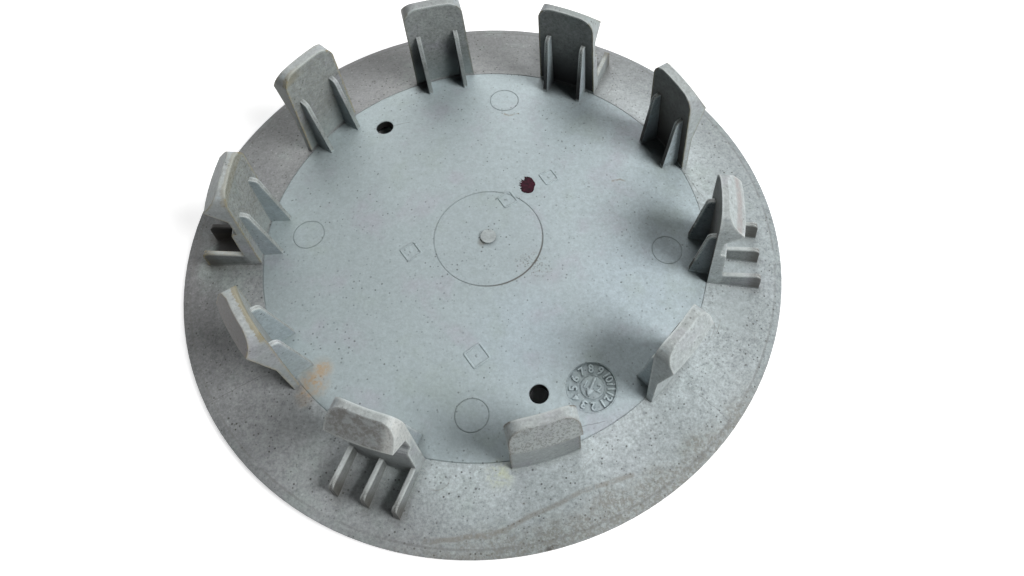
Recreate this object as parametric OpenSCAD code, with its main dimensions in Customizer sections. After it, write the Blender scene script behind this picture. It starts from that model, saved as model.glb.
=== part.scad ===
// Wheel centre cap, moulded in one piece: a thin domed plate that carries a ring
// of ten barbed snap clips on its back face. The cap lies on its front rim with
// the clips up: z = 0 is the plane of the front rim, and +Z points out of the back.

/* [Plate] */
// Outer diameter of the cap
cap_d = 156; // [150:1:190]
// Radius of the back face's curvature
dome_r = 375; // [300:5:600]
// Thickness of the plate
wall = 2.6; // [2.2:0.1:4]
// Width of the bevel round the back edge
bevel_w = 1.6; // [1:0.1:3]
// Depth of the bevel round the back edge
bevel_h = 0.25; // [0.1:0.05:0.8]
// Width of the flat land round the front edge
land_w = 1.6; // [1:0.1:3]
// Rounding of the outermost edge
edge_round = 0.9; // [0.3:0.1:1.2]
// Rounding of the back edge
back_round = 0.3; // [0.1:0.1:0.4]

/* [Holes] */
// Diameter of the two small through holes
hole_d = 4.7; // [3:0.1:6]
// Distance of the first hole from the centre
hole_a_r = 47.5; // [40:0.5:48]
// Direction of the first hole
hole_a_at = 132.5; // [128:0.5:138]
// Distance of the second hole from the centre
hole_b_r = 43.5; // [38:0.5:47]
// Direction of the second hole
hole_b_at = -69.2; // [-72:0.2:-68]

/* [Marks on the back] */
// Distance of the hairline circle from the clips' inner face
split_gap = 0.1; // [0.05:0.05:0.5]
// Diameter of the hairline circle round the centre
gate_ring_d = 27.8; // [20:0.2:36]
// Diameter of the nub at the centre
nub_d = 4; // [3:0.1:6]
// Height of the nub at the centre
nub_h = 0.6; // [0.3:0.1:1.2]
// Diameter of the round ejector marks
ejector_d = 8; // [6:0.1:10]
// Distance of the ejector marks from the centre
ejector_r = 46.4; // [42:0.2:48]
// Number of ejector marks
ejectors = 4; // [2:2:4]
// Width of a hairline mark
mark_w = 0.2; // [0.1:0.05:0.5]
// Depth of a hairline mark
mark_depth = 0.12; // [0.06:0.02:0.3]
// Diameter of the date dial
dial_d = 12.2; // [10:0.1:14]
// Distance of the date dial from the centre
dial_r = 47.4; // [45:0.1:48]
// Direction of the date dial
dial_at = -54; // [-55:0.5:-52]
// Depth of the date dial's recess
dial_depth = 0.6; // [0.2:0.05:1]

/* [Clips] */
// Number of clips; every fifth one and the second after it have rails
clips = 10; // [6:1:10]
// Radius of the clips' inner face where it leaves the plate
clip_r = 57.5; // [55:0.1:60]
// How far the clips' inner face leans in at the top
clip_lean = 1.2; // [0:0.1:2]
// Height of the clips above the plate
clip_h = 28.9; // [27:0.1:34]
// Width of a clip where it leaves the plate
clip_w = 16.6; // [14:0.2:18]
// How much narrower a clip is at its top
clip_draft = 1.4; // [0:0.1:2]
// Rounding of a clip's two top corners
clip_corner = 3.8; // [2:0.1:5]
// Radial thickness of a clip where it leaves the plate
clip_t = 1.6; // [1.2:0.1:2.2]
// Height of the barbs' edge above the plate
barb_z = 23.4; // [22:0.1:25]
// How far a plain clip's barb stands out from its outer face
barb_reach = 2.8; // [2:0.1:4]
// Rounding of the barbs' edge
barb_round = 0.3; // [0.1:0.1:0.5]
// Height at which a plain clip's barb starts to grow
ramp_z = 12.5; // [9:0.5:15]
// Rounding where that barb starts
ramp_round = 6; // [1:1:10]
// Radial thickness of a plain clip at its top
top_t = 2.5; // [2:0.1:4]
// Rounding of the clips' outer top edge
top_round = 0.5; // [0.1:0.1:0.8]

/* [Railed clips] */
// How far a railed clip's barb stands out from the wall
railed_reach = 3.8; // [3:0.1:5]
// Radial thickness of a railed clip at its top
railed_top_t = 1.8; // [1.4:0.1:3]
// Height of the barb's underside at the neck
neck_z = 19.9; // [18:0.1:21]
// Height of the thick foot
foot_z = 14.2; // [11:0.1:16]
// Radial thickness of the foot where it leaves the plate
foot_t = 3.6; // [3:0.1:4.5]
// How much thinner the foot is at its shoulder
foot_draft = 1; // [0:0.1:1.2]
// Depth of the neck behind a plain clip's outer face
neck_in = 0.5; // [0:0.1:0.8]
// Rounding of the neck and of the foot's shoulder
foot_round = 0.8; // [0.4:0.1:0.9]
// Thickness of a guide rail where it leaves the plate
rail_t = 1.35; // [1.2:0.05:2]
// How much thinner a guide rail is at its crest
rail_draft = 0.2; // [0:0.05:0.4]
// Rounding of a guide rail's crest
rail_crest = 0.3; // [0.1:0.05:0.35]
// Radius at which the guide rails end
rail_end_r = 71; // [68:0.5:73]
// Height of the guide rails above the plate
rail_z = 4.2; // [3:0.1:6]
// How far a guide rail's outer end leans in at its top
rail_lean = 0.5; // [0:0.1:1]
// Rounding of a guide rail's outer end
rail_round = 1.8; // [0.5:0.1:2.5]

/* [Inner ribs] */
// Thickness of an inner rib
rib_t = 1.35; // [1:0.05:2]
// How much thinner an inner rib is at its crest
rib_draft = 0.3; // [0:0.05:0.5]
// Distance between the middles of a clip's two ribs
rib_gap = 9.9; // [7:0.1:12]
// Height of the ribs above the plate
rib_z = 19; // [14:0.5:22]
// Radius at which the ribs run out on the plate
rib_tip_r = 52; // [50:0.5:54]
// Length of the flat on top of a rib
rib_flat = 2.1; // [0.5:0.1:2.5]
// Rounding at the end of that flat
rib_round = 1.5; // [0.5:0.1:2]

/* [Hidden] */
$fn = 96;
// how far an arc reaches past the sides that it joins
arc_lap = 0.002;
plastic = [0.66, 0.70, 0.71];

// depth to which a clip, rib or rail is rooted in what carries it
root = 0.7;
cap_r = cap_d / 2;
split_r = clip_r - split_gap - mark_w / 2;
front_r = dome_r - wall;
land_in_r = cap_r - edge_round - land_w;
dome_z = -sqrt(front_r * front_r - land_in_r * land_in_r);
tip_w = clip_w - clip_draft;

// height of the back face at radius r
function back_z(r) = dome_z + sqrt(dome_r * dome_r - r * r);
foot_level = back_z(clip_r);

// radius of a clip's inner face at height z above the plate
function inner_r(z) = clip_r - clip_lean * z / clip_h;

// outline with corners [x, y, radius], listed counter-clockwise, and true arcs: what lies
// between a corner and its arc is cut off where the corner points out, else filled in
function unit(v) = v / norm(v);
function bend(a, b, c) =
    let (u = unit([a.x - b.x, a.y - b.y]), v = unit([c.x - b.x, c.y - b.y]),
         half = acos(u * v) / 2, p = [b.x, b.y], middle = p + unit(u + v) * b.z / sin(half))
    [middle, p + u * b.z / tan(half), p, p + v * b.z / tan(half),
     b.z, sign(u.y * v.x - u.x * v.y)];
module corner_web(b) {
    past = 1.2;
    inward = b[0] - b[2];
    difference() {
        polygon([b[0], for (k = [1:3]) b[0] + past * (b[k] - b[0])]);
        translate(b[0]) rotate(atan2(inward.y, inward.x)) circle(b[4] + arc_lap);
    }
}
module rounded(corners) {
    n = len(corners);
    bends = [for (i = [0:n - 1]) if (corners[i].z > 0)
        bend(corners[(i + n - 1) % n], corners[i], corners[(i + 1) % n])];
    difference() {
        union() {
            polygon([for (c = corners) [c.x, c.y]]);
            for (b = bends) if (b[5] < 0) corner_web(b);
        }
        for (b = bends) if (b[5] > 0) corner_web(b);
    }
}

// the plate's section is bounded by two arcs about one centre
module plate_section() {
    intersection() {
        difference() {
            translate([0, dome_z]) circle(dome_r, $fn = 720);
            translate([0, dome_z]) circle(front_r, $fn = 720);
        }
        rounded([
            [0, 0, 0],
            [cap_r, 0, edge_round],
            [cap_r, back_z(cap_r) - bevel_h, back_round],
            [cap_r - bevel_w, back_z(cap_r - bevel_w), 0],
            [cap_r - bevel_w, dome_r, 0],
            [0, dome_r, 0]]);
    }
}

// solid that lies under the back face by the given depth
module below_back(depth) {
    rotate_extrude($fn = 180)
        intersection() {
            translate([0, dome_z]) circle(dome_r - depth, $fn = 720);
            square([cap_r, dome_r]);
        }
}

// hairline groove of radius r round the current origin
module hairline(r) {
    difference() {
        translate([0, 0, -wall]) cylinder(r = r + mark_w / 2, h = dome_r);
        translate([0, 0, -2 * wall]) cylinder(r = r - mark_w / 2, h = 2 * dome_r);
    }
}

module marks() {
    difference() {
        union() {
            hairline(split_r);
            hairline(gate_ring_d / 2);
            for (i = [0:ejectors - 1])
                rotate(i * 360 / ejectors) translate([ejector_r, 0, 0]) hairline(ejector_d / 2);
        }
        below_back(mark_depth);
    }
}

// the dial's recess is square to the dome
module dial_recess() {
    rotate(dial_at)
        translate([0, 0, dome_z])
            rotate([0, asin(dial_r / dome_r), 0])
                translate([0, 0, dome_r - dial_depth]) cylinder(d = dial_d, h = wall);
}

module through_holes() {
    for (at = [[hole_a_r, hole_a_at], [hole_b_r, hole_b_at]])
        rotate(at.y) translate([at.x, 0, -1]) cylinder(d = hole_d, h = dome_r, $fn = 48);
}

module plate() {
    difference() {
        union() {
            rotate_extrude($fn = 180) plate_section();
            translate([0, 0, back_z(0) - root]) cylinder(d = nub_d, h = nub_h + root, $fn = 48);
        }
        marks();
        dial_recess();
        through_holes();
    }
}

// front outline of a clip: tapered, with rounded top corners
module clip_outline() {
    rounded([
        [-clip_w / 2, -root, 0],
        [clip_w / 2, -root, 0],
        [tip_w / 2, clip_h, clip_corner],
        [-tip_w / 2, clip_h, clip_corner]]);
}

// a clip is its radial section swept about the cap's axis and cut to its outline
module clip_body(section) {
    sweep = 30;
    reach = 12;
    intersection() {
        rotate(-sweep / 2) rotate_extrude(angle = sweep) rounded(section);
        translate([clip_r - reach / 2, 0, 0])
            rotate([90, 0, 90]) linear_extrude(reach) clip_outline();
    }
}

// a rib is its side outline cut to a cross-section that narrows towards its crest
module inner_ribs() {
    tip_level = back_z(rib_tip_r) - foot_level;
    crest = [inner_r(rib_z) - rib_flat, rib_z] - [rib_tip_r, tip_level];
    depth = inner_r(0) + root - rib_tip_r;
    crest_t = rib_t - rib_draft;
    for (side = [-1, 1])
        translate([0, side * rib_gap / 2, 0])
            intersection() {
                rotate([90, 0, 0])
                    linear_extrude(2 * rib_t, center = true)
                        rounded([
                            [rib_tip_r, tip_level - root, 0],
                            [inner_r(0) + root, -root, 0],
                            [inner_r(rib_z) + root, rib_z, 0],
                            [inner_r(rib_z) - rib_flat, rib_z, rib_round],
                            [rib_tip_r, tip_level, 0]]);
                translate([rib_tip_r, 0, tip_level])
                    rotate([0, atan2(crest.x, crest.y), 0])
                        linear_extrude(3 * rib_z, center = true)
                            polygon([[-root, -crest_t / 2], [depth, -rib_t / 2],
                                [depth, rib_t / 2], [-root, crest_t / 2]]);
            }
}

// a rail is its side outline cut to its tapered cross-section
module rails() {
    base = back_z(rail_end_r) - foot_level - root;
    half = rail_t / 2;
    crest = (rail_t - rail_draft) / 2;
    edge = (clip_w - rail_t) / 2;
    for (across = [-edge, 0, edge])
        translate([0, across, 0])
            intersection() {
                rotate([90, 0, 0])
                    linear_extrude(2 * rail_t, center = true)
                        rounded([
                            [clip_r + root, -root, 0],
                            [rail_end_r, base, 0],
                            [rail_end_r - rail_lean, rail_z, rail_round],
                            [clip_r + root, rail_z, 0]]);
                rotate([90, 0, 90])
                    linear_extrude(cap_r)
                        rounded([
                            [-half, base, 0],
                            [half, base, 0],
                            [crest, rail_z, rail_crest],
                            [-crest, rail_z, rail_crest]]);
            }
}

module plain_clip() {
    outer_r = clip_r + clip_t;
    clip_body([
        [inner_r(-root), -root, 0],
        [outer_r, -root, 0],
        [outer_r, ramp_z, ramp_round],
        [outer_r + barb_reach, barb_z, barb_round],
        [inner_r(clip_h) + top_t, clip_h, top_round],
        [inner_r(clip_h), clip_h, 0]]);
    inner_ribs();
}

module railed_clip() {
    neck_r = clip_r + clip_t - neck_in;
    foot_r = clip_r + foot_t;
    clip_body([
        [inner_r(-root), -root, 0],
        [foot_r, -root, 0],
        [foot_r - foot_draft, foot_z, foot_round],
        [neck_r, foot_z, foot_round],
        [neck_r, neck_z, foot_round],
        [clip_r + clip_t + railed_reach, barb_z, barb_round],
        [inner_r(clip_h) + railed_top_t, clip_h, top_round],
        [inner_r(clip_h), clip_h, 0]]);
    inner_ribs();
    rails();
}

module centre_cap() {
    color(plastic) {
        plate();
        translate([0, 0, foot_level]) {
            for (i = [0:clips - 1])
                rotate(i * 360 / clips)
                    if (i % 5 == 0 || i % 5 == 2) railed_clip();
                    else plain_clip();
        }
    }
}

centre_cap();
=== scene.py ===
# Wheel centre cap, lying on its front rim with the snap clips up, on a white floor.
# The moulding comes from model.glb; the date dial's figures, the check-box outlines and
# a dab of paint are added here, and the finish is built from nodes.
# Lengths are in millimetres and become metres at the end, unless a name says otherwise.
import math
import random

import bpy
from mathutils import Matrix, Vector


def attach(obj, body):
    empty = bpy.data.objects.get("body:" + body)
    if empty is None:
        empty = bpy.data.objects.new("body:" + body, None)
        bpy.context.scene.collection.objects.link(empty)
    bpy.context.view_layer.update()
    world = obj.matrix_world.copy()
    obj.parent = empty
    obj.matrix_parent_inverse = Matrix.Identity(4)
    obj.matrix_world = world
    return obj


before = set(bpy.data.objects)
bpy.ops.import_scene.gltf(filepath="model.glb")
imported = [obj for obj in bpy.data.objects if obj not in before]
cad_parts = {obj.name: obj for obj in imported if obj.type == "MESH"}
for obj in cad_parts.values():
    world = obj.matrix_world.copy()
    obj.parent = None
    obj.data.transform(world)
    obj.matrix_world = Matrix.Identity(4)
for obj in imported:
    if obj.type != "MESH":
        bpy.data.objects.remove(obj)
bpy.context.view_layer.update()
MM = 0.001

# sizes of the moulding that the added pieces and the finish rely on
CAP_R = 78.0
DOME_R = 375.0
FRONT_R = 372.4
LAND_IN_R = 75.5
DOME_Z = -math.sqrt(FRONT_R ** 2 - LAND_IN_R ** 2)
CLIPS, CLIP_STEP = 10, 36.0
CLIP_R, CLIP_H, CLIP_LEAN = 57.5, 28.9, 1.2
BARB_H = 23.4
RIB_AT, RAIL_AT = 4.95, 7.6
GATE_RING_R = 13.9
HOLES, HOLE_R = ((-32.09, 35.02), (15.45, -40.66)), 2.35
DIAL_X, DIAL_Y, DIAL_R, DIAL_DEPTH = 28.05, -38.31, 6.15, 0.6

# the dab of paint
DAB_X, DAB_Y, DAB_W, DAB_H = 8.9, 16.6, 3.9, 5.4


def back_z(r):
    """Height of the back face at radius r."""
    return DOME_Z + math.sqrt(DOME_R ** 2 - r * r)


FOOT = back_z(CLIP_R)


# Camera

# solved from the rim, the hairline circle and the clips in the photograph
EYE = Vector((25.56, -100.335, 190.866))
RIGHT = Vector((0.99833, 0.01928, 0.05439))
DOWN = Vector((0.04119, -0.89819, -0.43767))
FORWARD = Vector((0.04041, 0.43918, -0.89749))
PHOTO_W, PHOTO_H = 1024, 576
FOCAL_PX, CENTRE_X_PX, CENTRE_Y_PX = 797.916, 618.378, 284.358


def add_camera():
    data = bpy.data.cameras.new("camera")
    data.sensor_width = 36
    data.lens = FOCAL_PX * data.sensor_width / PHOTO_W
    data.shift_x = (PHOTO_W / 2 - CENTRE_X_PX) / PHOTO_W
    data.shift_y = (CENTRE_Y_PX - PHOTO_H / 2) / PHOTO_W
    data.clip_start, data.clip_end = 0.01, 10
    camera = bpy.data.objects.new("camera", data)
    bpy.context.collection.objects.link(camera)
    turn = Matrix((RIGHT, -DOWN, -FORWARD)).transposed()
    camera.matrix_world = Matrix.Translation(EYE * MM) @ turn.to_4x4()
    bpy.context.scene.camera = camera


add_camera()


# Nodes as arithmetic

class Value:
    """A number inside a node tree, so that masks are written as sums and products."""

    def __init__(self, tree, socket):
        self.tree, self.socket = tree, socket

    def op(self, kind, *others, clamp=False):
        node = self.tree.nodes.new("ShaderNodeMath")
        node.operation, node.use_clamp = kind, clamp
        for slot, value in zip(node.inputs, (self,) + others):
            put(self.tree, slot, value)
        return Value(self.tree, node.outputs[0])

    def __add__(self, other): return self.op("ADD", other)
    def __sub__(self, other): return self.op("SUBTRACT", other)
    def __mul__(self, other): return self.op("MULTIPLY", other)
    def __truediv__(self, other): return self.op("DIVIDE", other)
    def __rsub__(self, other): return (self * -1) + other
    __radd__, __rmul__ = __add__, __mul__

    def sqrt(self): return self.op("SQRT")
    def abs(self): return self.op("ABSOLUTE")
    def least(self, other): return self.op("MINIMUM", other)
    def most(self, other): return self.op("MAXIMUM", other)
    def clamp(self): return self.op("ADD", 0.0, clamp=True)

    def rise(self, low, high):
        """0 below low and 1 above high, smooth between; falls where low is above high."""
        node = self.tree.nodes.new("ShaderNodeMapRange")
        node.interpolation_type = "SMOOTHSTEP"
        down = low > high
        put(self.tree, node.inputs["Value"], self)
        put(self.tree, node.inputs["From Min"], min(low, high))
        put(self.tree, node.inputs["From Max"], max(low, high))
        put(self.tree, node.inputs["To Min"], 1.0 if down else 0.0)
        put(self.tree, node.inputs["To Max"], 0.0 if down else 1.0)
        return Value(self.tree, node.outputs["Result"])

    def near(self, middle, far, close):
        """1 within close of the middle and 0 from far on."""
        return (self - middle).abs().rise(far, close)


def put(tree, slot, value):
    if isinstance(value, Value):
        tree.links.new(value.socket, slot)
    elif isinstance(value, bpy.types.NodeSocket):
        tree.links.new(value, slot)
    elif isinstance(value, tuple) and slot.type == "RGBA" and len(value) == 3:
        slot.default_value = value + (1.0,)
    else:
        slot.default_value = value


def any_of(first, *others):
    """The largest of several masks."""
    for other in others:
        first = first.most(other)
    return first


class Finish:
    """A node material with the object's coordinates in millimetres."""

    def __init__(self, name):
        self.material = bpy.data.materials.new(name)
        self.material.use_nodes = True
        self.tree = self.material.node_tree
        self.tree.nodes.clear()
        coords = self.node("ShaderNodeTexCoord")
        self.place = self.vector("SCALE", coords.outputs["Object"], scale=1 / MM)
        self.x, self.y, self.z = self.parts(self.place)

    def node(self, kind, **settings):
        node = self.tree.nodes.new(kind)
        for name, value in settings.items():
            setattr(node, name, value)
        return node

    def vector(self, operation, first, second=None, scale=None):
        node = self.node("ShaderNodeVectorMath", operation=operation)
        put(self.tree, node.inputs[0], first)
        if second is not None:
            put(self.tree, node.inputs[1], second)
        if scale is not None:
            put(self.tree, node.inputs["Scale"], scale)
        return node.outputs["Value" if operation in ("DISTANCE", "DOT_PRODUCT") else "Vector"]

    def parts(self, socket):
        node = self.node("ShaderNodeSeparateXYZ")
        put(self.tree, node.inputs[0], socket)
        return [Value(self.tree, out) for out in node.outputs]

    def noise(self, size, detail=2.0, rough=0.5, warp=0.0, seed=0.0):
        """Noise from 0 to 1 whose blotches are about size millimetres across."""
        shifted = self.vector("ADD", self.place, (seed * 37.1, seed * 61.7, seed * 19.3))
        node = self.node("ShaderNodeTexNoise", noise_dimensions="3D")
        put(self.tree, node.inputs["Vector"], shifted)
        put(self.tree, node.inputs["Scale"], 1.0 / size)
        put(self.tree, node.inputs["Detail"], detail)
        put(self.tree, node.inputs["Roughness"], rough)
        put(self.tree, node.inputs["Distortion"], warp)
        return Value(self.tree, node.outputs[0])

    def specks(self, size, spread, seed=0.0):
        """Sparse round specks: size across, about spread apart."""
        shifted = self.vector("ADD", self.place, (seed * 41.3, seed * 23.9, seed * 57.7))
        node = self.node("ShaderNodeTexVoronoi", voronoi_dimensions="3D")
        put(self.tree, node.inputs["Vector"], shifted)
        put(self.tree, node.inputs["Scale"], 1.0 / spread)
        distance = Value(self.tree, node.outputs["Distance"]) * spread
        red = self.node("ShaderNodeSeparateColor")
        put(self.tree, red.inputs[0], node.outputs["Color"])
        chance = Value(self.tree, red.outputs[0])
        return distance.rise(size, size * 0.4) * chance

    def nearness(self, reach, inside):
        """About 0.5 within a sharp corner and 0 from reach mm on: corners that point out
        when inside is True, else creases."""
        node = self.node("ShaderNodeAmbientOcclusion", samples=2, inside=inside, only_local=True)
        node.inputs["Distance"].default_value = reach * MM
        return 1 - Value(self.tree, node.outputs["AO"])

    def mix(self, amount, low, high, kind="MIX"):
        node = self.node("ShaderNodeMix", data_type="RGBA", blend_type=kind)
        put(self.tree, node.inputs["Factor"], amount)
        put(self.tree, node.inputs[6], low)
        put(self.tree, node.inputs[7], high)
        return node.outputs[2]

    def shade(self, colour, factor):
        """Colour times a grey factor."""
        return self.vector("SCALE", colour, scale=factor)

    def spot(self, x, y, radius, soft=0.6, squeeze=1.0, turn=0.0):
        """1 inside a round or stretched spot on the plate, 0 outside."""
        c, s = math.cos(math.radians(turn)), math.sin(math.radians(turn))
        u = (self.x - x) * c + (self.y - y) * s
        v = ((self.y - y) * c - (self.x - x) * s) * squeeze
        return (u * u + v * v).sqrt().rise(radius * (1 + soft), radius * (1 - soft))

    def finish(self, colour, rough, bumps, specular, edge_radius=None):
        """The material, with bumps [(height from 0 to 1, depth in mm)] over rounded edges."""
        shader = self.node("ShaderNodeBsdfPrincipled")
        put(self.tree, shader.inputs["Base Color"], colour)
        put(self.tree, shader.inputs["Roughness"], rough)
        shader.inputs["Specular IOR Level"].default_value = specular
        normal = None
        if edge_radius:
            rounded = self.node("ShaderNodeBevel", samples=3)
            rounded.inputs["Radius"].default_value = edge_radius * MM
            normal = rounded.outputs[0]
        for height, depth in bumps:
            bump = self.node("ShaderNodeBump")
            bump.inputs["Strength"].default_value = 1.0
            bump.inputs["Distance"].default_value = depth * MM
            put(self.tree, bump.inputs["Height"], height)
            if normal is not None:
                put(self.tree, bump.inputs["Normal"], normal)
            normal = bump.outputs[0]
        put(self.tree, shader.inputs["Normal"], normal)
        output = self.node("ShaderNodeOutputMaterial")
        put(self.tree, output.inputs["Surface"], shader.outputs[0])
        return self.material


# Finish of the moulding

# colours of the bare plastic, and of the painted sheen and painted light on the plate and flange, as linear
# values
PLATE_LEFT, PLATE_RIGHT = (0.390, 0.455, 0.468), (0.430, 0.505, 0.530)
PLATE_BLUE_SHEEN = (0.420, 0.500, 0.550)
FLANGE_DARK, FLANGE_LIT = (0.222, 0.228, 0.228), (0.400, 0.448, 0.458)
FLANGE_WARMTH = (1.03, 0.965, 0.960)
INNER_FACE = (0.330, 0.350, 0.340)
OUTER_LEFT, OUTER_RIGHT = (0.350, 0.376, 0.380), (0.420, 0.465, 0.468)
RIB_BLUE, FOOT_BLUE = (0.370, 0.430, 0.455), (0.350, 0.415, 0.415)
BETWEEN_RAILS = (0.50, 0.565, 0.575)
LAVENDER, GREENISH = (0.400, 0.385, 0.445), (0.345, 0.412, 0.385)

# colours of dirt, from black to tan; the blacks are painted shade in holes, recesses,
# corners and between ribs, and the crease colour stands for dirt and painted shade
SHADE_BLACK, CORNER_SHADE = (0.006, 0.005, 0.004), (0.010, 0.010, 0.012)
HOLLOW_SHADE, RIB_SHADOW = (0.014, 0.014, 0.016), (0.022, 0.022, 0.024)
SPECK_DARK = (0.060, 0.060, 0.055)
WARM_DARK, RAIL_DIRT = (0.060, 0.050, 0.038), (0.060, 0.054, 0.045)
RAIL_END_DIRT, CREASE_DIRT_AND_SHADE = (0.075, 0.068, 0.056), (0.080, 0.074, 0.062)
RING_DIRT, SMUDGE_BROWN = (0.10, 0.085, 0.065), (0.13, 0.105, 0.08)
NUB_DIRT = (0.13, 0.115, 0.09)
BAND_DIRT, TIDE_BROWN = (0.205, 0.198, 0.170), (0.200, 0.180, 0.145)
RIM_LINE_GREY, HAIR_GREY = (0.17, 0.17, 0.165), (0.15, 0.15, 0.15)
SCRATCH_BROWN, SCUFF_BROWN = (0.20, 0.18, 0.15), (0.22, 0.18, 0.12)
RUST_ORANGE, STAIN_GREEN = (0.45, 0.30, 0.155), (0.42, 0.44, 0.20)
CHIP_DARK = (0.06, 0.05, 0.04)
LEFT_FACE_BROWN, INNER_GRAIN = (0.120, 0.115, 0.085), (0.115, 0.106, 0.078)

# colours of stains and worn edges on the clips, and the highlight painted on the rails' crests
CLIP_6_BROWN = (0.140, 0.110, 0.098)
CLIP_7_STREAK, CLIP_7_STAIN = (0.120, 0.110, 0.098), (0.230, 0.225, 0.215)
CLIP_8_STAIN, CLIP_0_STAIN = (0.175, 0.185, 0.170), (0.31, 0.26, 0.25)
LINE_BROWN, LINE_DARK_BROWN = (0.170, 0.140, 0.095), (0.115, 0.082, 0.050)
LINE_GOLD, LINE_FAR = (0.40, 0.340, 0.20), (0.240, 0.215, 0.130)
BAND_GOLD = (0.300, 0.260, 0.150)
PALE_SPECK, PALE_EDGE = (0.66, 0.70, 0.69), (0.58, 0.63, 0.62)
RAIL_HIGHLIGHT, PALE_RIB = (0.62, 0.66, 0.65), (0.66, 0.72, 0.72)
PALE_NEAR, PALE_END = (0.68, 0.72, 0.705), (0.66, 0.675, 0.650)

# marks on the plate and spots of painted sheen, as [x, y] or [x, y, radius], found from the photograph
TIDE_MARK = [(-8.1, -74.5), (5.6, -72.7), (9.6, -71.5), (15.0, -68.4), (21.7, -65.3),
             (26.3, -62.6), (38.1, -58.4)]
RUST = [(-38.2, -39.4, 3.0), (-36.8, -36.0, 2.2), (-39.8, -43.0, 1.8)]
GREEN_STAIN, CHIP = (7.6, -59.6, 2.6), (20.3, -75.0, 1.5)
SMUDGE, NUB_MARK = (12.2, -7.2, 5.4), (-1.5, -1.6, 1.0)
# spots of painted sheen where the plate is bluer, then a spot where it is darker
BLUE_SHEEN_SPOTS, DARKER_SPOT = [(38, -10, 12), (11, -26, 11)], (-38, -14, 18)
TIDE_W, HAIR_W, SCUFF_W = 0.85, 0.14, 0.42
HAIRLINES = [
    [(54.6, -38.4), (63.3, -45.0)], [(-51.6, -37.7), (-63.5, -44.3)], [(24.4, -48.3), (31.5, -46.2)],
    [(-29.5, 35.8), (-25.4, 37.1)], [(51.0, 26.8), (56.4, 18.0)], [(64.6, 20.5), (72.5, 26.5)]]
BROWN_SCUFFS = [
    [(31.6, 20.2), (33.6, 20.9), (35.4, 20.4)], [(0.6, 41.2), (2.2, 40.8), (4.4, 41.6)],
    [(32.6, 39.6), (34.4, 39.0), (35.2, 40.6)]]

# clip n stands at 36 n degrees; painted shade: how dark its inner face is at its foot and at its top
INNER_SHADE = {0: (0.08, 0.34), 1: (0.02, 0.35), 2: (0.02, 0.50), 3: (0.50, 0.86), 4: (0.88, 1.0)}


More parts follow.
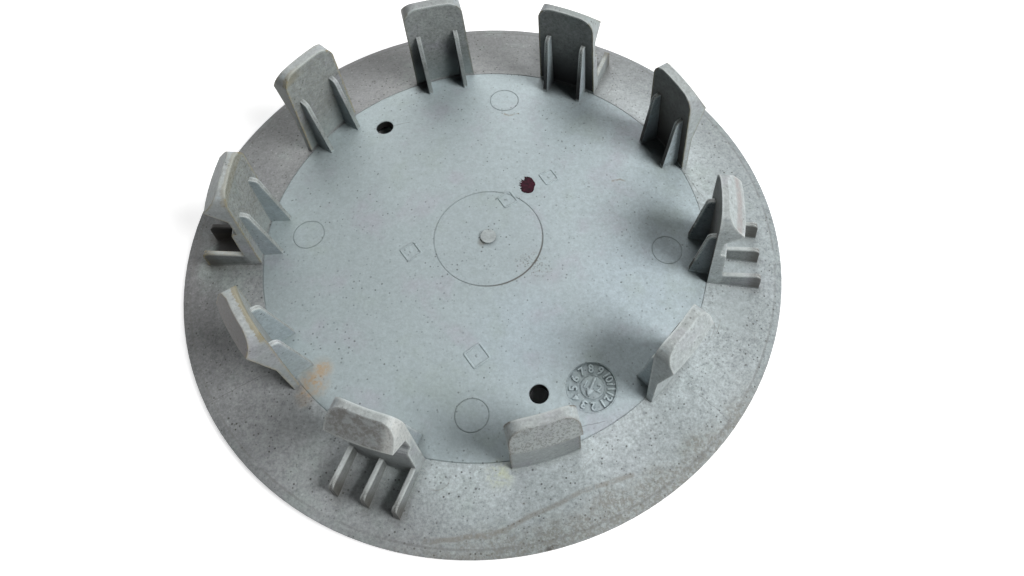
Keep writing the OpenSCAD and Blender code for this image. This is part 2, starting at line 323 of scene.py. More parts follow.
class Plastic(Finish):
    """Finish of the moulding, with its own coordinates and the masks that several marks share.
    Each method takes a colour and gives it back with its marks added; several also paint
    light and shade into it."""

    def __init__(self):
        super().__init__("moulded_plastic")
        self.r = (self.x * self.x + self.y * self.y).sqrt()
        self.angle = self.y.op("ARCTAN2", self.x) * (180 / math.pi)
        geometry = self.node("ShaderNodeNewGeometry")
        self.nx, self.ny, self.nz = self.parts(geometry.outputs["Normal"])
        out = (self.nx * self.x + self.ny * self.y) / self.r.most(0.01)

        # the nearest clip, the distances across it and along its direction, and its side faces
        steps = (self.angle + (360 + CLIP_STEP / 2)) * (1 / CLIP_STEP)
        self.clip_number = steps.op("FLOOR").op("MODULO", float(CLIPS))
        turn = self.clip_number * math.radians(CLIP_STEP)
        cos, sin = turn.op("COSINE"), turn.op("SINE")
        self.across = self.y * cos - self.x * sin
        self.along = self.x * cos + self.y * sin
        side = self.ny * cos - self.nx * sin

        # height above the back face, which is domed, and level above the clips' feet
        dome = (self.r * self.r * -1 + DOME_R ** 2).sqrt() + DOME_Z
        self.height = self.z - dome
        self.level = self.z - FOOT

        # parts of the moulding
        self.raised = self.height.rise(0.25, 0.8)
        self.on_plate = 1 - self.raised
        self.flange = self.r.rise(CLIP_R - 0.3, CLIP_R)
        self.on_flange = self.flange * self.on_plate
        self.rib_side = side.abs().rise(0.45, 0.75) * self.across.abs().rise(6.6, 6.0)
        self.rib_side = self.rib_side * self.r.rise(59.0, 58.0)
        self.faces_in = out.rise(-0.25, -0.6)
        self.inner = self.faces_in * (1 - self.rib_side)
        self.outer = out.rise(0.25, 0.5)
        self.outwards = out.rise(-0.2, 0.2)
        self.at_clip = [self.clip_number.op("COMPARE", float(n), 0.4) for n in range(CLIPS)]
        above = self.height.rise(0.4, 1.2)
        self.on_clip = [at * above for at in self.at_clip]
        self.slope = self.height.rise(BARB_H - 0.8, BARB_H + 0.2)

        # noises of falling size, and the edges that point out
        self.drift = self.noise(9, 4, 0.65, seed=5.0)
        self.mottle = self.noise(1.6, 4, 0.72, seed=3.0)
        self.grain = self.noise(0.62, 3, 0.75, seed=4.0)
        self.patchy = self.mottle.rise(0.42, 0.60)
        self.edge = self.nearness(0.65, inside=True) * self.raised

        # the plate's coordinates, a little wavy
        wave = self.noise(2.6, 2)
        flat = self.node("ShaderNodeCombineXYZ")
        put(self.tree, flat.inputs[0], self.x + wave * 1.6 - 0.8)
        put(self.tree, flat.inputs[1], self.y + wave * 1.2 - 0.6)
        self.wavy_place = flat.outputs[0]

    def trace(self, points, width):
        """1 along a slightly wavy line through several points of the plate."""
        distance = None
        for (x0, y0), (x1, y1) in zip(points, points[1:]):
            length = math.hypot(x1 - x0, y1 - y0)
            direction = ((x1 - x0) / length, (y1 - y0) / length, 0.0)
            offset = self.vector("SUBTRACT", self.wavy_place, (x0, y0, 0.0))
            reach = Value(self.tree, self.vector("DOT_PRODUCT", offset, direction))
            foot = self.vector("SCALE", direction, scale=reach.most(0.0).least(length))
            away = Value(self.tree, self.vector("DISTANCE", offset, foot))
            distance = away if distance is None else distance.least(away)
        return distance.rise(width, width * 0.3)

    def bare_and_sheen(self):
        """The plate is bluish, the flange is darker on its left and towards its left rim, and
        the clips' inner faces are greyer than their outer ones. Painted light is mixed in: a
        painted sheen makes the plate lighter and bluer towards the right, and the flange is
        painted lit on its side towards the lamps."""
        # painted light and shade: the flange lit on its side towards the lamps, darker away from it
        sunward = (self.x * 0.643 - self.y * 0.766) / self.r.most(1)
        flange_tone = self.mix(sunward.rise(-1.1, 0.75), FLANGE_DARK, FLANGE_LIT)
        upper_right = (self.x * 0.94 + self.y * 0.34).rise(35, 60)
        left_rim = (self.x * -0.94 - self.y * 0.342).rise(56, 73)
        near_seam = self.r.rise(68, 59)
        low_rim = (self.y * -0.97 - self.x * 0.26).rise(60, 72)
        upper = self.y.rise(5, 45) * self.r.rise(74.5, 62)
        patches = near_seam * 0.12 + upper * 0.24 - left_rim * 0.22
        patches = patches - upper_right * (1 - near_seam) * 0.10 - low_rim * 0.13
        flange_tone = self.shade(flange_tone, 1 + patches)
        lower_left = (self.x * -0.7 - self.y * 0.7).rise(44, 66)
        flange_tone = self.mix(lower_left * 0.8, flange_tone, FLANGE_WARMTH, "MULTIPLY")

        # painted sheen: the plate lighter and bluer towards the right, and bluer still in two spots
        plate_tone = self.mix(self.x.rise(-50, 50), PLATE_LEFT, PLATE_RIGHT)
        blue_sheen = any_of(*[self.spot(*place) for place in BLUE_SHEEN_SPOTS])
        plate_tone = self.mix(blue_sheen * 0.45, plate_tone, PLATE_BLUE_SHEEN)
        lighter = self.y.rise(-45, 45) * 0.06 + self.y.rise(22, 46) * 0.05
        darker = self.spot(*DARKER_SPOT, soft=0.7) * 0.05 + self.r.rise(24, 8) * 0.06
        plate_tone = self.shade(plate_tone, 0.97 + lighter - darker)

        outer_tone = self.mix(self.x.rise(-60, 30), OUTER_LEFT, OUTER_RIGHT)
        clip_tone = self.mix(self.outwards, INNER_FACE, outer_tone)
        clip_tone = self.mix(self.rib_side, clip_tone, RIB_BLUE)
        return self.mix(self.raised, self.mix(self.flange, plate_tone, flange_tone), clip_tone)

    def mottled(self, colour):
        """Broad patches of lavender and green, and a mottle of two sizes."""
        patches = self.noise(15, 4, 0.62, seed=1.0)
        lavender = patches.rise(0.52, 0.70) * (0.40 - self.on_flange * 0.30)
        colour = self.mix(lavender, colour, LAVENDER)
        colour = self.mix(patches.rise(0.46, 0.30) * 0.35, colour, GREENISH)
        near_side = self.y.rise(45, -25)
        strength = 0.42 + self.x.rise(-10, 60) * 0.20 + self.on_flange * (0.30 + near_side * 0.40)
        strength = strength + self.raised * 0.35 + self.raised * self.faces_in * 0.45
        change = (self.grain - 0.5) * strength * 1.05 + (self.mottle - 0.5) * strength
        return self.shade(colour, 1 + change)

    def dirty_and_shaded(self, colour):
        """Creases darkened with dirt and painted shade, specks in drifts, the outer band of the flange, and
        scratches.
        """
        # dirt and painted shade in the creases, from ambient occlusion
        crease = self.nearness(2.6, inside=False).rise(0.18, 0.62)
        clean_foot = self.clip_number.op("COMPARE", 4.5, 1.9) * self.r.rise(57.9, 57.4)
        crease_grime_and_shade = crease * 0.6 * (0.3 + self.mottle) * self.height.rise(-0.3, -0.02)
        colour = self.mix((crease_grime_and_shade * (1 - clean_foot * 0.75)).clamp(), colour, CREASE_DIRT_AND_SHADE)

        fine = self.specks(0.36, 1.15, 1.0).rise(0.30, 0.7)
        fine = fine * (0.30 + self.drift.rise(0.42, 0.64) * 0.6 + self.on_flange * 0.35)
        coarse = self.specks(0.46, 5.0, 2.0).rise(0.40, 0.7) * (0.55 + self.on_flange * 0.45)
        colour = self.mix((fine.most(coarse) * 0.72).clamp(), colour, SPECK_DARK)
        pale = self.specks(0.40, 1.7, 6.0).rise(0.35, 0.7)
        pale = pale * (self.on_flange * 0.55 + self.raised * 0.4)
        colour = self.mix(pale * 0.40, colour, PALE_SPECK)

        from_low_side = (self.angle + 62).abs()
        edge_wave = (self.drift - 0.5) * 14 + from_low_side * 0.16
        band = (self.r - edge_wave).rise(66.5, 73.0) * from_low_side.rise(52, 24) * self.on_flange
        band_grain = self.noise(0.95, 4, 0.78, seed=7.0).rise(0.40, 0.60)
        colour = self.mix(band * (0.20 + band_grain * 0.52), colour, BAND_DIRT)
        tide = self.trace(TIDE_MARK, TIDE_W) * self.mottle.rise(0.34, 0.56)
        colour = self.mix(tide * 0.55, colour, TIDE_BROWN)
        rim_line = self.r.near(CAP_R - 2, 0.42, 0.1) * self.drift.rise(0.35, 0.55)
        colour = self.mix(rim_line * self.on_flange * 0.45, colour, RIM_LINE_GREY)
        rim_band = self.r.rise(75.8, 76.4) * self.angle.near(-8, 62, 30)
        colour = self.shade(colour, 1 - rim_band * 0.12)
        scratch = self.noise(21, 2, 0.4, warp=1.6, seed=16.0).near(0.5, 0.0045, 0.001)
        scratch = scratch * self.drift.rise(0.46, 0.60) * (0.25 + self.on_flange * 0.75)
        return self.mix(scratch * 0.40, colour, SCRATCH_BROWN)

    def marked(self, colour):
        """Small marks on the plate: rust, dirt at the gate, a stain, hairlines, scuffs and a
        chip; and painted shade: black inside the holes, the dial's floor darker, with painted
        light on its figures."""
        rust = any_of(*[self.spot(*mark, soft=0.7) for mark in RUST])
        colour = self.mix(rust * self.on_plate * (0.22 + self.patchy * 0.5), colour, RUST_ORANGE)
        smudge = self.spot(*SMUDGE, squeeze=1.7, turn=-35) * self.grain.rise(0.50, 0.64)
        colour = self.mix(smudge * 0.75, colour, SMUDGE_BROWN)
        ring_dirt = self.r.near(GATE_RING_R, 0.34, 0.10) * self.angle.near(-38, 75, 20)
        colour = self.mix(ring_dirt * self.on_plate * 0.7, colour, RING_DIRT)
        nub_dirt = self.spot(*NUB_MARK, soft=0.5) * self.height.rise(0.55, 0.35)
        colour = self.mix(nub_dirt * 0.6, colour, NUB_DIRT)
        stain = self.spot(*GREEN_STAIN, soft=0.8) * self.patchy * self.on_plate
        colour = self.mix(stain * 0.45, colour, STAIN_GREEN)
        hair = any_of(*[self.trace(line, HAIR_W) for line in HAIRLINES])
        colour = self.mix(hair * self.on_plate * 0.55, colour, HAIR_GREY)
        scuff = any_of(*[self.trace(line, SCUFF_W) for line in BROWN_SCUFFS])
        colour = self.mix(scuff * self.on_plate * self.patchy * 0.6, colour, SCUFF_BROWN)
        chip = self.spot(*CHIP, soft=0.5, squeeze=2.2, turn=15) * self.patchy
        colour = self.mix(chip * 0.8, colour, CHIP_DARK)

        # painted shade: the walls of the bores are painted black
        for x, y in HOLES:
            bore = self.spot(x, y, HOLE_R + 0.15, 0.04) * self.height.rise(-0.10, -0.40)
            colour = self.mix(bore * 0.98, colour, SHADE_BLACK)
        # painted shade on the dial's sunken floor and painted light on its raised figures
        in_dial = self.spot(DIAL_X, DIAL_Y, DIAL_R, 0.03)
        floor = in_dial * self.height.rise(-0.22, -0.42)
        figures = in_dial * self.height.rise(-0.30, -0.15)
        return self.shade(colour, 1 - floor * 0.22 + figures * 0.16)

    def worn_and_rail_shading(self, colour, wear):
        """Pale wear on edges with a brown line inside it, and rails with a highlight painted on
        their crests, painted shade on their sides down to their feet, and dirty ends."""
        brown_line = self.edge.rise(0.03, 0.09) * self.edge.rise(0.22, 0.12)
        brown_line = brown_line * self.drift.rise(0.40, 0.55)
        colour = self.mix(brown_line * 0.60, colour, LINE_BROWN)
        colour = self.mix(wear * 0.50, colour, PALE_EDGE)
        # painted light on the rails: a highlight along their crests and painted shade on their sides
        rail = self.raised * self.r.rise(60.5, 61.5) * self.level.rise(5.2, 4.6)
        crest = self.level.rise(3.4, 4.0)
        colour = self.shade(colour, 1 - rail * (1 - crest) * 0.30)
        colour = self.mix(rail * crest * self.r.rise(70.0, 66.0) * 0.40, colour, RAIL_HIGHLIGHT)
        end = rail * self.r.rise(66.5, 70.3)
        return self.mix(end * (0.40 + self.mottle * 0.6), colour, RAIL_END_DIRT)

    def shaded_inside(self, colour):
        """Painted shade on the inner faces of the clips at the right and the far side, and black
        painted shadow between and beside their ribs and on the ribs' sides; also a warm dark on
        the inner faces of clips 0 and 1, and a brown darkening on faces of clips 3 and 4 turned
        to the left."""
        at, on = self.at_clip, self.on_clip
        # painted shade on the clips' inner faces, darkest at their feet
        for n, (foot, top) in INNER_SHADE.items():
            fade = foot + self.height.rise(1.5, 25.0) * (top - foot)
            colour = self.shade(colour, 1 - on[n] * self.inner * (1 - fade))
        colour = self.mix(on[0].most(on[1]) * self.inner * 0.30, colour, WARM_DARK)

        # painted shade: black between the ribs, low on clips 1 and 2
        low = self.height.rise(14.0, 0.0)
        between = self.across.abs().rise(5.6, 4.0) * self.r.rise(49.5, 55.5) * self.r.rise(58.2, 57.4)
        colour = self.mix(at[1].most(at[2]) * between * low * 0.80, colour, HOLLOW_SHADE)
        # painted shade on the sides of the ribs of clip 0
        colour = self.shade(colour, 1 - self.rib_side * on[0] * 0.52)
        # painted shadow: black on the ribs' sides turned to the left, on clips 1 to 4
        left_side = self.rib_side * self.nx.rise(-0.2, -0.7) * (any_of(on[1], on[2], on[3]) + on[4] * 0.70)
        darkest = (0.35 + low * 0.55).most(on[3] * self.height.rise(19.0, 14.0) * 0.92)
        colour = self.mix(left_side * darkest, colour, RIB_SHADOW)
        # painted shade: black beside the ribs of clips 3 and 4, fading upwards
        beside = any_of(*[(self.across - x).rise(5.2, 1.6) * (self.across - x).rise(0.3, 0.7)
                          for x in (RIB_AT, -RIB_AT)])
        beside = beside * self.r.rise(52.5, 56.0) * self.r.rise(58.6, 57.8) * (at[3] + at[4] * 0.50)
        colour = self.mix(beside * self.height.rise(20.0, 9.5) * 0.94, colour, CORNER_SHADE)
        # a brownish, grainy darkening on faces of clips 3 and 4 turned to the left, up high
        far_left = on[3].most(on[4]) * (1 - self.inner) * self.nx.rise(-0.25, -0.75)
        far_left = far_left * self.height.rise(12, 20)
        return self.mix(far_left * (0.25 + self.grain * 0.6), colour, LEFT_FACE_BROWN)

    def rail_dirt_and_shade(self, colour):
        """Black painted shade in the recess under the barb of clip 5, painted shade on the lower
        parts of the rails of clips 5 and 7, the pale plate between the rails of clip 0, and
        brown dirt at the rails' feet and outer ends."""
        at, on = self.at_clip, self.on_clip
        # painted shade: black in the recess under the barb of clip 5, between its rails
        recess = at[5] * self.across.rise(-0.9, -0.5) * self.across.rise(7.1, 6.2) * self.r.rise(58.4, 59.0)
        recess = recess * self.r.rise(72.0, 69.6) * self.level.rise(5.0, 4.5)
        colour = self.mix(recess * 0.98, colour, SHADE_BLACK)
        # painted shade on the lower parts of the rails of clips 5 and 7
        rail_foot = (on[7] * 0.25 + on[5]) * self.r.rise(59.6, 60.4) * self.level.rise(3.9, 3.2)
        colour = self.shade(colour, 1 - rail_foot * 0.35)
        from_rail = self.across.abs().least((self.across.abs() - RAIL_AT).abs())
        between = at[0] * from_rail.rise(1.0, 1.6) * self.r.rise(59.5, 61) * self.r.rise(70.5, 68)
        colour = self.mix(between * self.height.rise(1.0, 0.3) * 0.35, colour, BETWEEN_RAILS)
        share = any_of(at[7] * 0.35, at[5] * 0.7, any_of(at[0], at[2], at[5], at[7]) * 0.18)
        end = share * from_rail.rise(2.6, 0.4) * self.r.rise(63.0, 69.5) * self.r.rise(74.0, 71.8)
        end = end * self.height.rise(3.9, 3.0)
        return self.mix(end * (0.30 + self.mottle * 0.80), colour, RAIL_DIRT)

    def stained_and_shaded(self, colour):
        """Clip 6 reddish brown outside, clip 7 with its battered end and painted shade on the ramp
        under its barb, the stained slopes of clips 7, 8 and 0, and the inner faces of the clips at
        the left."""
        on, outer, height = self.on_clip, self.outer, self.height
        colour = self.mix(on[6] * outer * 0.62 * (0.4 + self.mottle), colour, CLIP_6_BROWN)
        streak = self.mottle.rise(0.34, 0.62)
        middle = self.edge.rise(0.12, 0.02)
        slope_7 = on[7] * outer * self.slope
        # painted shade on the ramp under the barb of clip 7
        ramp = on[7] * outer * height.rise(BARB_H, BARB_H - 0.8)
        colour = self.shade(colour, 1 - ramp * 0.36)
        colour = self.mix(slope_7 * streak * middle * 0.80, colour, CLIP_7_STREAK)
        colour = self.mix(slope_7 * middle * 0.20, colour, CLIP_7_STAIN)
        battered = on[7] * self.across.rise(4.2, 6.6) * height.rise(15, 19)
        battered = battered * (0.45 + self.grain.rise(0.38, 0.54) * 0.55)
        colour = self.mix(battered * 0.70, colour, PALE_END)

        # the ramp of clip 8 darkens downwards and to its right
        ramp = on[8] * outer * height.rise(BARB_H + 0.2, BARB_H - 0.6)
        darker = height.rise(21.5, 13.5) * 0.10 + self.across.rise(-1.0, 8.0) * 0.24
        darker = darker + height.rise(14.5, 12.5) * 0.34
        colour = self.shade(colour, 1 + ramp * (0.22 - darker))
        dark_grain = self.grain.rise(0.46, 0.60)
        slope_8 = on[8] * outer * self.slope
        colour = self.mix(slope_8 * middle * (0.18 + dark_grain * 0.60), colour, CLIP_8_STAIN)
        slope_0 = on[0] * outer * self.slope * height.near(26.0, 1.3, 0.3)
        colour = self.mix(slope_0 * (0.20 + streak * 0.50), colour, CLIP_0_STAIN)

        speckled = on[5].most(on[4] * 0.7) * self.inner * dark_grain
        colour = self.mix(speckled * 0.58, colour, INNER_GRAIN)
        bluish = any_of(on[3], on[4], on[5]) * self.inner * height.rise(13, 0)
        return self.mix(bluish * 0.40, colour, FOOT_BLUE)

    def edged(self, colour):
        """Lines along edges: brown round the faces of clip 8, gold-brown on the left and the
        far clips, whitish on the near ones and on the ribs' tops."""
        on, height = self.on_clip, self.height
        line = self.edge.rise(0.10, 0.28) * self.across.abs().rise(6.0, 6.4).most(height.rise(19.5, 20.5))
        brown = on[8] * line * self.mottle.rise(0.26, 0.46)
        colour = self.mix(brown * 0.80, colour, LINE_DARK_BROWN)
        left = any_of(on[4], on[5], on[6])
        high = height.rise(26.4, 27.4)
        colour = self.shade(colour, 1 + left * high * self.nz.rise(0.5, 0.8) * 0.14)
        colour = self.mix(left * line * self.grain.rise(0.36, 0.54) * 0.85, colour, LINE_GOLD)
        far = any_of(on[1], on[2], on[3] * 0.6) * line
        colour = self.mix(far * self.grain.rise(0.34, 0.52) * 0.80, colour, LINE_FAR)
        near = any_of(on[7], on[9], on[0]) * height.rise(4.8, 6.5) * self.edge.rise(0.12, 0.34)
        colour = self.mix(near * self.mottle.rise(0.28, 0.50) * 0.80, colour, PALE_NEAR)
        top_face = high * self.nz.rise(0.6, 0.9)
        colour = self.shade(colour, 1 + top_face * (0.07 - on[2].most(on[3]) * 0.17))
        rib_top = self.edge.rise(0.14, 0.34) * self.across.abs().rise(6.4, 5.9)
        rib_top = rib_top * self.r.rise(57.4, 56.6) * height.rise(8, 17) * self.raised
        colour = self.mix(rib_top * 0.75, colour, PALE_RIB)

        # a ragged band on the top faces of the clips at the left, next to their inner faces
        from_inner = self.along - CLIP_R + height * (CLIP_LEAN / CLIP_H) + (self.grain - 0.5) * 1.6
        ragged = from_inner.rise(0.95, 0.55) * height.rise(25.4, 26.6)
        gold = on[6] + on[5] * 0.45 + on[4] * self.across.rise(0.0, 6.0) * 0.6
        return self.mix(ragged * gold * 0.70, colour, BAND_GOLD)


BUMP_DEPTH = 0.05


def moulded_plastic():
    f = Plastic()
    wear = f.edge.rise(0.16, 0.40) * (0.30 + f.patchy * 0.70)
    wear = wear * (1 - f.clip_number.op("COMPARE", 3.5, 2.6) * 0.5)
    colour = f.worn_and_rail_shading(f.marked(f.dirty_and_shaded(f.mottled(f.bare_and_sheen()))), wear)
    colour = f.edged(f.stained_and_shaded(f.rail_dirt_and_shade(f.shaded_inside(colour))))
    bumps = [(f.grain, BUMP_DEPTH), (f.noise(2.8, 2, 0.5, seed=14.0), BUMP_DEPTH)]
    rough = 0.46 + f.drift * 0.14 + wear * 0.1
    return f.finish(colour, rough, bumps, specular=0.3, edge_radius=0.35)


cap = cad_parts["centre_cap"]
cap.data.materials.clear()
plastic = moulded_plastic()
cap.data.materials.append(plastic)


# Added pieces: built in the plane of the plate and laid on its dome

# the pieces' feet lie this far below the face that they stand on
SUNK = -0.02


def laid_on_plate(name, points, faces, material, below=0.0):
    """A mesh from points [x, y, height above the back face], which then rides on the cap."""
    mesh = bpy.data.meshes.new(name)
    domed = [(x * MM, y * MM, (back_z(math.hypot(x, y)) - below + h) * MM) for x, y, h in points]
    mesh.from_pydata(domed, [], faces)
    mesh.materials.append(material)
    piece = bpy.data.objects.new(name, mesh)
    bpy.context.collection.objects.link(piece)
    for polygon in mesh.polygons:
        polygon.use_smooth = True
    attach(piece, "root")


def ridge(loop_of_offset, profile):
    """Closed ridge: loop_of_offset(d) gives the outline d mm outside the middle line."""
    points, faces = [], []
    loops = [loop_of_offset(d) for d, _ in profile]
    n = len(loops[0])
    for loop, (_, h) in zip(loops, profile):
        points += [(x, y, h) for x, y in loop]
    for i in range(len(profile) - 1):
        for j in range(n):
            k = (j + 1) % n
            faces.append((i * n + j, (i + 1) * n + j, (i + 1) * n + k, i * n + k))
    return points, faces


def half_round(width, height, steps=8):
    """Profile of a ridge, from its outer foot over the crest to its inner foot."""
    angles = [math.pi * i / steps for i in range(steps + 1)]
    return [(width / 2 * math.cos(a), height * math.sin(a) + SUNK) for a in angles]


def square_loop(x, y, side, turn, corner=0.35, steps=5):
    """Outline of a turned square with rounded corners, as a function of the offset."""
    def loop(d):
        points = []
        for quarter in range(4):
            middle = math.radians(turn + 45 + 90 * quarter)
            inner = (side / 2 - corner) * math.sqrt(2)
            for i in range(steps + 1):
                a = middle + math.radians(-45 + 90 * i / steps)
                points.append((x + inner * math.cos(middle) + (corner + d) * math.cos(a),
                               y + inner * math.sin(middle) + (corner + d) * math.sin(a)))
        return points
    return loop


def circle_loop(x, y, radius, steps=64):
    """Outline of a circle, as a function of the offset."""
    angles = [2 * math.pi * i / steps for i in range(steps)]
    return lambda d: [(x + (radius + d) * math.cos(a), y + (radius + d) * math.sin(a)) for a in angles]


def walls(rings, n):
    """Faces between rings of n points each, and a lid on the last ring."""
    faces = []
    for i in range(rings - 1):
        for j in range(n):
            k = (j + 1) % n
            faces.append((i * n + j, i * n + k, (i + 1) * n + k, (i + 1) * n + j))
    return faces + [tuple((rings - 1) * n + j for j in range(n))]


def mound(x, y, outline, profile):
    """Low mound over an outline [distance for each angle]; profile: [share of radius, height]."""
    n = len(outline)
    points = []
    for share, h in profile:
        for j, radius in enumerate(outline):
            a = 2 * math.pi * j / n
            points.append((x + radius * share * math.cos(a), y + radius * share * math.sin(a), h))
    return points, walls(len(profile), n)


def joined(*meshes):
    points, faces = [], []
    for more_points, more_faces in meshes:
        start = len(points)
        points += more_points
        faces += [tuple(start + i for i in face) for face in more_faces]
    return points, faces


# check boxes [x, y, side, turn in degrees], each a ridge with a dot in the middle
BOX_LINE_W, BOX_LINE_H, DOT_R = 0.55, 0.26, 0.42
CHECK_BOXES = [(14.31, 19.75, 3.7, 36), (3.95, 11.70, 3.7, 37), (-19.22, -4.85, 3.9, 39),
               (0.0, -32.0, 4.5, 39)]

for i, (x, y, side, turn) in enumerate(CHECK_BOXES):
    outline = ridge(square_loop(x, y, side, turn), half_round(BOX_LINE_W, BOX_LINE_H))
    dot = mound(x, y, [DOT_R] * 20, [(1.0, SUNK), (0.9, 0.06), (0.55, 0.10)])
    laid_on_plate(f"check_box_{i + 1}", *joined(outline, dot), plastic)


# Date dial: twelve numbers round a disc with two figures and an arrow, all in the recess

DIAL_RIM_R, DISC_R, DISC_LIP_R = 6.25, 2.85, 3.05
FIGURE_R, FIGURE_SIZE, FIRST_FIGURE_AT = 4.5, 2.75, -54.0
FIGURE_TOP, DISC_FIGURE_LOW, DISC_FIGURE_TOP, DISC_FIGURE_TURN = 0.50, 0.20, 0.52, -22
FIGURE_BEVEL = 0.05
ARROW_AIM = math.radians(-111.5)


def figure_mesh(text, size, x, y, turn, low, high):
    """Points and faces of a raised figure, whose top points to the turned +Y."""
    curve = bpy.data.curves.new("figure", "FONT")
    curve.body, curve.size = text, size
    curve.align_x, curve.align_y = "CENTER", "CENTER"
    curve.extrude = (high - low) / 2 - FIGURE_BEVEL
    curve.bevel_depth, curve.bevel_resolution = FIGURE_BEVEL, 1
    curve.offset = 0.03
    curve.resolution_u = 4
    curve.space_character = 0.86
    text_object = bpy.data.objects.new("figure", curve)
    bpy.context.collection.objects.link(text_object)
    bpy.context.view_layer.update()
    evaluated = text_object.evaluated_get(bpy.context.evaluated_depsgraph_get())
    mesh = bpy.data.meshes.new_from_object(evaluated)
    c, s = math.cos(math.radians(turn)), math.sin(math.radians(turn))
    middle = (low + high) / 2
    points = [(x + v.co.x * c - v.co.y * s, y + v.co.x * s + v.co.y * c, middle + v.co.z)
              for v in mesh.vertices]
    faces = [tuple(p.vertices) for p in mesh.polygons]
    bpy.data.objects.remove(text_object)
    bpy.data.curves.remove(curve)
    bpy.data.meshes.remove(mesh)
    return points, faces


def prism(outline, low, high, chamfer=0.08):
    """Raised plate over a flat outline, with its top edge drawn in."""
    n = len(outline)
    cx, cy = sum(p[0] for p in outline) / n, sum(p[1] for p in outline) / n
    top = []
    for x, y in outline:
        length = math.hypot(x - cx, y - cy)
        pull = (length - chamfer) / length
        top.append((cx + (x - cx) * pull, cy + (y - cy) * pull, high))
    points = [(x, y, low) for x, y in outline] + [(x, y, high - chamfer) for x, y in outline] + top
    return points, walls(3, n)


def add_dial():
    rim = ridge(circle_loop(DIAL_X, DIAL_Y, DIAL_RIM_R), half_round(width=0.34, height=0.74))
    disc_profile = [(1.0, SUNK), (0.985, 0.22), (0.95, 0.27), (0.5, 0.27)]
    disc = mound(DIAL_X, DIAL_Y, [DISC_R] * 48, disc_profile)
    groove_lip = ridge(circle_loop(DIAL_X, DIAL_Y, DISC_LIP_R), half_round(width=0.16, height=0.08))
    figures = []
    for n in range(12):
        at = FIRST_FIGURE_AT - 30 * n
        x = DIAL_X + FIGURE_R * math.cos(math.radians(at))
        y = DIAL_Y + FIGURE_R * math.sin(math.radians(at))
        figures.append(figure_mesh(str(n + 1), FIGURE_SIZE, x, y, at - 90, SUNK, FIGURE_TOP))
    for text, size, dx, dy in (("1", 2.5, -1.65, 0.65), ("2", 2.7, 1.65, -0.25)):
        figures.append(figure_mesh(text, size, DIAL_X + dx, DIAL_Y + dy,
                                   DISC_FIGURE_TURN, DISC_FIGURE_LOW, DISC_FIGURE_TOP))
    ux, uy = math.cos(ARROW_AIM), math.sin(ARROW_AIM)

    def arrow(points):
        """Points [along the arrow, across it] in the plane of the plate."""
        return [(DIAL_X - 0.10 + ux * u - uy * v, DIAL_Y + 0.15 + uy * u + ux * v) for u, v in points]

    shaft = [(-2.3, -0.26), (1.2, -0.30), (1.2, 0.30), (-2.3, 0.26)]
    head = [(0.75, -0.85), (1.3, -0.80), (2.45, -0.12), (2.45, 0.12), (1.3, 0.80), (0.75, 0.85)]
    shaft = prism(arrow(shaft), DISC_FIGURE_LOW, 0.85)
    head = prism(arrow(head), DISC_FIGURE_LOW, 0.90, 0.14)
    laid_on_plate("date_dial", *joined(disc, groove_lip, *figures, shaft, head), plastic, below=DIAL_DEPTH)
    laid_on_plate("dial_rim", *rim, plastic, below=DIAL_DEPTH)


add_dial()


# Dab of paint: oval, thicker in the middle, with bristle marks at its left

PAINT_DARK, PAINT_RED, PAINT_SPECK = (0.015, 0.003, 0.007), (0.048, 0.006, 0.017), (0.14, 0.05, 0.07)
PAINT_EDGE = (0.010, 0.006, 0.006)
BRISTLES_AT = math.radians(155)


def paint_finish():
    f = Finish("red_paint")
    blotch = f.noise(1.1, 4, 0.7, seed=20.0)
    speck = f.noise(0.28, 3, 0.7, seed=21.0)
    colour = f.mix(blotch.rise(0.38, 0.66), PAINT_DARK, PAINT_RED)
    colour = f.mix(speck.rise(0.62, 0.75) * 0.4, colour, PAINT_SPECK)
    dx, dy = f.x - DAB_X, f.y - DAB_Y
    colour = f.mix((dx * dx + dy * dy).sqrt().rise(1.9, 2.9) * 0.75, colour, PAINT_EDGE)
    return f.finish(colour, 0.40 + speck * 0.2, [(blotch, BUMP_DEPTH), (speck, 0.02)], specular=0.1)


def add_paint_dab():
    chance = random.Random(5)
    outline = []
    for j in range(96):
        a = 2 * math.pi * j / 96
        radius = DAB_W * DAB_H / math.hypot(DAB_H * math.cos(a), DAB_W * math.sin(a)) / 2
        radius += 0.12 * math.sin(5 * a)
        bristles = max(0.0, math.cos(a - BRISTLES_AT)) ** 1.5
        radius += bristles * chance.uniform(-0.45, 0.90) + chance.uniform(-0.05, 0.05)
        outline.append(radius)
    profile = [(1.0, SUNK), (0.96, 0.05), (0.85, 0.09), (0.6, 0.12), (0.3, 0.13)]
    laid_on_plate("paint_dab", *mound(DAB_X, DAB_Y, outline, profile), paint_finish())


add_paint_dab()


# Floor, world and lamps

FLOOR_SIDE_M, FLOOR_Z_M = 6.0, -0.0002
FLOOR_GREY = (0.8, 0.8, 0.8)
FLOOR_GLOW, GLOW_GROWS_FROM_M, GLOW_FULL_FROM_M = 0.6, 0.35, 1.1
WHITE = (1.0, 1.0, 1.0)


def white_for_the_view(tree):
    """1 for camera, glossy and transmission rays, so that white shows there and lights nothing."""
    path = tree.nodes.new("ShaderNodeLightPath")
    rays = ("Is Camera Ray", "Is Glossy Ray", "Is Transmission Ray")
    return any_of(*[Value(tree, path.outputs[ray]) for ray in rays])


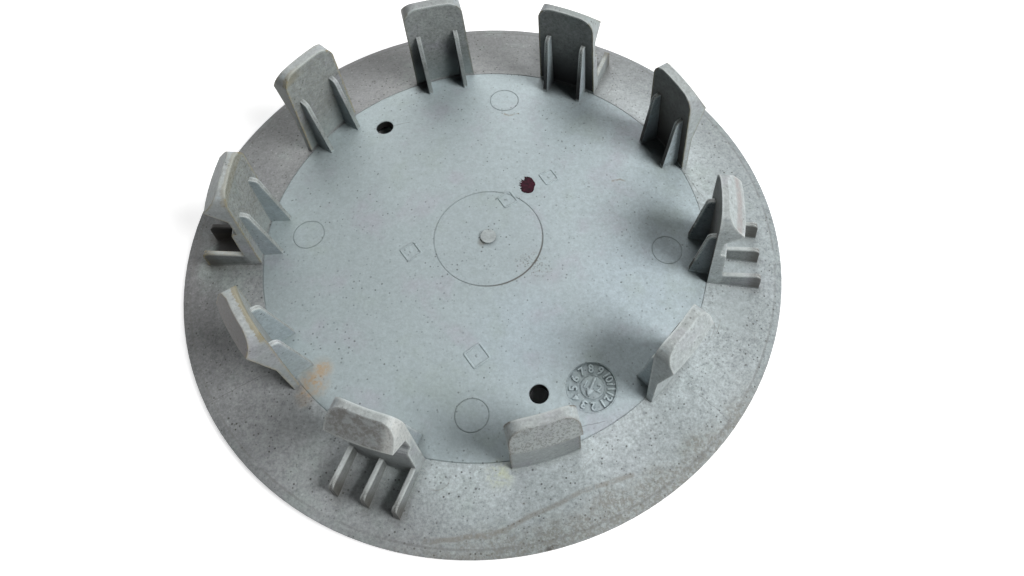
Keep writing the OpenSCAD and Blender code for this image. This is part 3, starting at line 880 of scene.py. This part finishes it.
def add_floor():
    """Pale floor with the cap's shadow, which glows to white outside the cap for the view."""
    mesh = bpy.data.meshes.new("floor")
    half = FLOOR_SIDE_M / 2
    corners = [(-half, -half, 0), (half, -half, 0), (half, half, 0), (-half, half, 0)]
    mesh.from_pydata(corners, [], [(0, 1, 2, 3)])
    floor = bpy.data.objects.new("floor", mesh)
    bpy.context.collection.objects.link(floor)
    floor.location.z = FLOOR_Z_M
    material = bpy.data.materials.new("floor")
    material.use_nodes = True
    tree = material.node_tree
    tree.nodes.clear()
    paint = tree.nodes.new("ShaderNodeBsdfDiffuse")
    put(tree, paint.inputs["Color"], FLOOR_GREY)
    glow = tree.nodes.new("ShaderNodeEmission")
    put(tree, glow.inputs["Color"], WHITE)
    place = tree.nodes.new("ShaderNodeTexCoord")
    spread = tree.nodes.new("ShaderNodeVectorMath")
    spread.operation = "LENGTH"
    tree.links.new(place.outputs["Object"], spread.inputs[0])
    from_middle_m = Value(tree, spread.outputs["Value"])
    beyond_cap = from_middle_m.rise(CAP_R * MM - 0.012, CAP_R * MM - 0.002)
    far = from_middle_m.rise(GLOW_GROWS_FROM_M, GLOW_FULL_FROM_M)
    strength = white_for_the_view(tree) * beyond_cap * (far * (1 - FLOOR_GLOW) + FLOOR_GLOW)
    put(tree, glow.inputs["Strength"], strength)
    both = tree.nodes.new("ShaderNodeAddShader")
    tree.links.new(paint.outputs[0], both.inputs[0])
    tree.links.new(glow.outputs[0], both.inputs[1])
    output = tree.nodes.new("ShaderNodeOutputMaterial")
    tree.links.new(both.outputs[0], output.inputs["Surface"])
    mesh.materials.append(material)


def add_world():
    world = bpy.data.worlds.new("world")
    world.use_nodes = True
    tree = world.node_tree
    background = tree.nodes["Background"]
    put(tree, background.inputs["Color"], WHITE)
    put(tree, background.inputs["Strength"], white_for_the_view(tree))
    bpy.context.scene.world = world


def add_lamp(name, elevation, azimuth, size_m, watts, distance_m=1.2):
    """A square lamp that looks at the cap from a direction given in degrees."""
    e, a = math.radians(elevation), math.radians(azimuth)
    data = bpy.data.lights.new(name, "AREA")
    data.size, data.energy = size_m, watts
    lamp = bpy.data.objects.new(name, data)
    bpy.context.collection.objects.link(lamp)
    towards = Vector((math.cos(e) * math.cos(a), math.cos(e) * math.sin(a), math.sin(e)))
    lamp.location = towards * distance_m
    lamp.rotation_mode = "QUATERNION"
    lamp.rotation_quaternion = towards.to_track_quat("Z", "Y")


add_floor()
add_world()
add_lamp("key", elevation=46, azimuth=-19, size_m=0.5, watts=12.2)
add_lamp("fill", elevation=42, azimuth=98, size_m=1.0, watts=8.4)
bpy.context.scene.view_settings.view_transform = "Standard"
